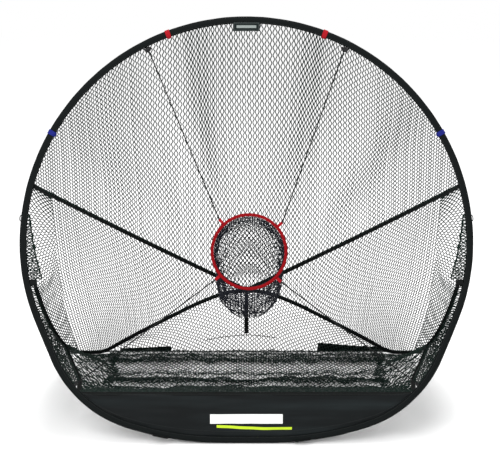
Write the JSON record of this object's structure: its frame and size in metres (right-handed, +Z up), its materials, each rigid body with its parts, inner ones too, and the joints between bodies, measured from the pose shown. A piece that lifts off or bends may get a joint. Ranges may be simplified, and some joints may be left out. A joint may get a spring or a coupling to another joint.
{
  "type": "golf chipping net",
  "caption": "Leaning hoop of sprung rod with a bag of netting behind it on a folding rear bow, and a small round target with its own pocket held across the mouth by cords",
  "frame": {"origin": "on the ground, midway between the front of the stake loops and the back of the hem, in the middle of the width", "axes": "+X to the right of a player who faces the mouth, +Y away from the player, +Z up"},
  "size_m": [1.5384, 0.9171, 1.3937],
  "materials": {
    "sprung_rod": "pultruded glass fibre",
    "ferrule": "plain steel tube",
    "black_cloth": "woven polyester",
    "label": "woven label",
    "red_cloth": "woven polyester",
    "blue_webbing": "woven webbing",
    "black_cord": "braided elastic cord",
    "netting": "knotless knitted netting",
    "black_webbing": "woven webbing",
    "black_plastic": "moulded",
    "spring_wire": "bright wire"
  },
  "bodies": {
    "front_frame": {"hoop_rod": "sprung_rod", "hoop_ferrule": "ferrule", "hoop_sleeve": "black_cloth", "top_label": "label", "red_tabs": "red_cloth", "blue_tabs": "blue_webbing", "side_loops": "black_cord", "stake_loops": "black_webbing", "apron": "black_cloth", "side_strap_left": "black_webbing", "side_strap_right": "black_webbing", "back_net": "netting", "side_net_left": "netting", "side_net_right": "netting", "rear_side_net_left": "netting", "rear_side_net_right": "netting", "lower_net_left": "netting", "lower_net_right": "netting", "floor_net": "netting", "side_tape_left": "black_webbing", "side_tape_right": "black_webbing", "bow_pocket_left": "black_webbing", "bow_pocket_right": "black_webbing", "cord_lock_left": "black_plastic", "cord_lock_right": "black_plastic", "lock_spring_left": "spring_wire", "lock_spring_right": "spring_wire", "cord_anchors": "black_plastic", "upper_cord_left": "black_cord", "upper_cord_right": "black_cord", "lower_cord_left": "black_cord", "lower_cord_right": "black_cord"},
    "rear_bow": {"bow_rod": "sprung_rod", "bow_sleeve": "black_cloth", "end_cap_left": "black_plastic", "end_cap_right": "black_plastic", "hub_patch": "black_cloth", "rear_strap": "black_webbing", "arched_cord": "black_cord", "rear_net": "netting", "hem_cord": "black_cord", "foot_flap_left": "black_cloth", "foot_flap_right": "black_cloth"},
    "target": {"target_rod": "sprung_rod", "target_sleeve": "red_cloth", "target_tabs": "black_webbing", "cord_clips": "black_plastic", "pocket_net": "netting", "pocket_base": "netting"},
    "left_lock_button": {"lock_button_left": "black_plastic"},
    "right_lock_button": {"lock_button_right": "black_plastic"}
  },
  "joints": [
    {"name": "rear_bow_fold", "type": "hinge", "parent": "front_frame", "child": "rear_bow", "pos_m": [0, -0.30276, 0.52396], "axis": [1, 0, 0], "range_deg": [0, 90], "deforming": ["side_strap_left", "side_strap_right", "back_net", "side_net_left", "side_net_right", "rear_side_net_left", "rear_side_net_right", "lower_net_left", "lower_net_right", "floor_net", "side_tape_left", "side_tape_right"]},
    {"name": "target_slide", "type": "slide", "parent": "front_frame", "child": "target", "axis": [0, 0.9703, -0.2419], "range_m": [-0.04, 0.06], "stiffness_N_per_m": 80, "springref_m": -0.004, "deforming": ["upper_cord_left", "upper_cord_right", "lower_cord_left", "lower_cord_right"]},
    {"name": "left_lock_press", "type": "slide", "parent": "front_frame", "child": "left_lock_button", "axis": [-0.8965, -0.1072, -0.4299], "range_m": [0, 0.003], "stiffness_N_per_m": 400, "springref_m": -0.002, "deforming": ["lock_spring_left"]},
    {"name": "right_lock_press", "type": "slide", "parent": "front_frame", "child": "right_lock_button", "axis": [0.8965, -0.1072, -0.4299], "range_m": [0, 0.003], "stiffness_N_per_m": 400, "springref_m": -0.002, "deforming": ["lock_spring_right"]}
  ]
}
